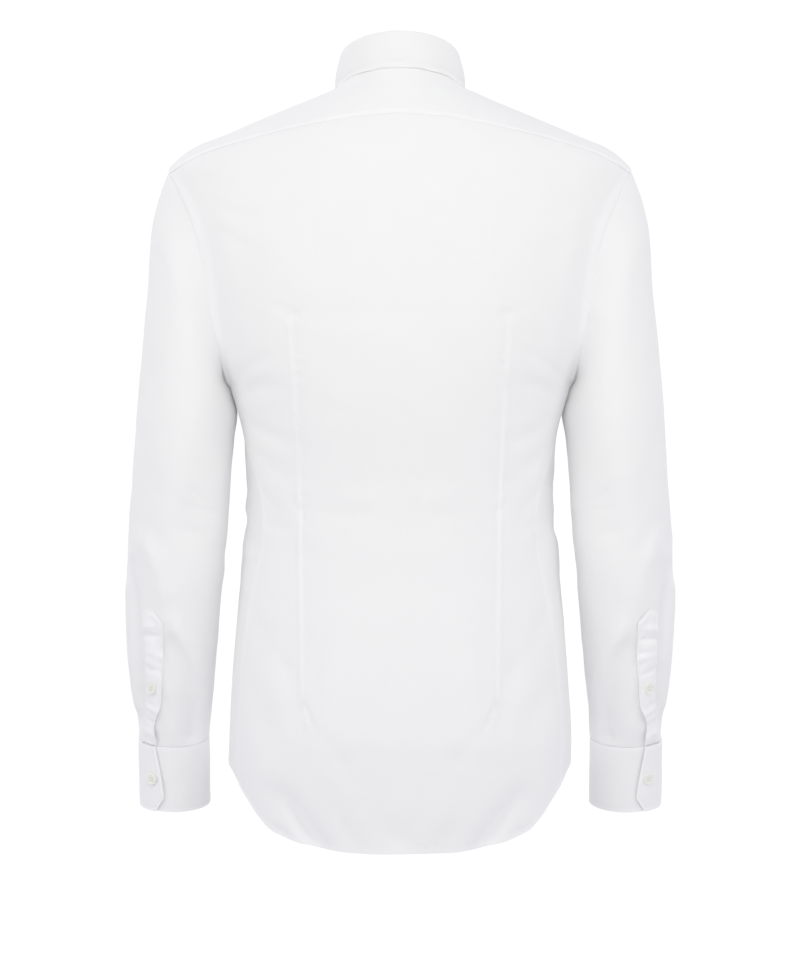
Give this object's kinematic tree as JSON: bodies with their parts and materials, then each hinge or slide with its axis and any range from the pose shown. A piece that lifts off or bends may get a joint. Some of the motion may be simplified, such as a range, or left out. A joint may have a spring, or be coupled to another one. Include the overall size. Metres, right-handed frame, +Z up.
{
  "type": "long sleeve dress shirt",
  "caption": "Slim long sleeve dress shirt, filled out as when worn, with a folded collar, back yoke, darts, buttoned cuffs and a curved shirt tail hem.",
  "frame": {"origin": "centre of the neck opening, level with the shoulder points of the neck, where the wearer's neck and shoulders carry the shirt", "axes": "+Z up, the front of the shirt faces -Y, the wearer's left is +X"},
  "size_m": [0.55, 0.256, 0.8069],
  "materials": {
    "cotton": "plain woven cotton, matt",
    "button": "polished, pearly"
  },
  "bodies": {
    "root": {"back": "cotton", "yoke": "cotton", "front_left": "cotton", "front_right": "cotton", "sleeve_left": "cotton", "sleeve_right": "cotton", "sleeve_placket_left": "cotton", "sleeve_placket_right": "cotton", "cuff_left": "cotton", "cuff_right": "cotton", "collar_stand": "cotton", "collar_leaf": "cotton", "button_cuff_left": "button", "button_cuff_right": "button", "button_sleeve_left": "button", "button_sleeve_right": "button", "button_collar": "button", "button_front_1": "button", "button_front_2": "button", "button_front_3": "button", "button_front_4": "button", "button_front_5": "button", "button_front_6": "button"}
  },
  "joints": []
}
